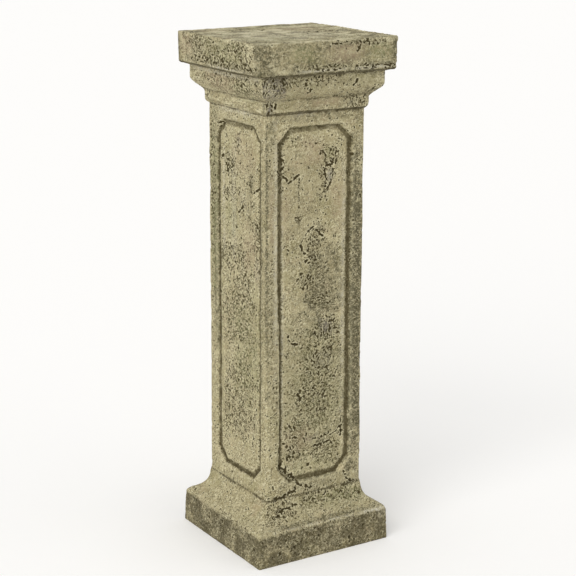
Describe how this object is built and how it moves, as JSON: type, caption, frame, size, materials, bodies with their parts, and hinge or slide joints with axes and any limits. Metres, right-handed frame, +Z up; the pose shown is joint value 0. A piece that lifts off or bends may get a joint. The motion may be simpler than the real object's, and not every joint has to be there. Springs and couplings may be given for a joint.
{
  "type": "pedestal",
  "caption": "Square garden pedestal in aged cast stone: moulded foot, tall shaft with a sunk clipped-corner panel on each side, and a moulded cap with a flat top for a statue or urn.",
  "frame": {"origin": "centre of the underside of the foot, on the ground", "axes": "+Z up the shaft; +X and +Y square to the sides, with the side on -Y the wide one in the picture and the side on -X the narrow one"},
  "size_m": [0.305, 0.305, 1.01],
  "materials": {
    "cast_stone": "dry matt khaki cast stone, pitted, with a dark wash in the hollows and pale worn edges"
  },
  "bodies": {
    "root": {"pedestal": "cast_stone"}
  },
  "joints": []
}
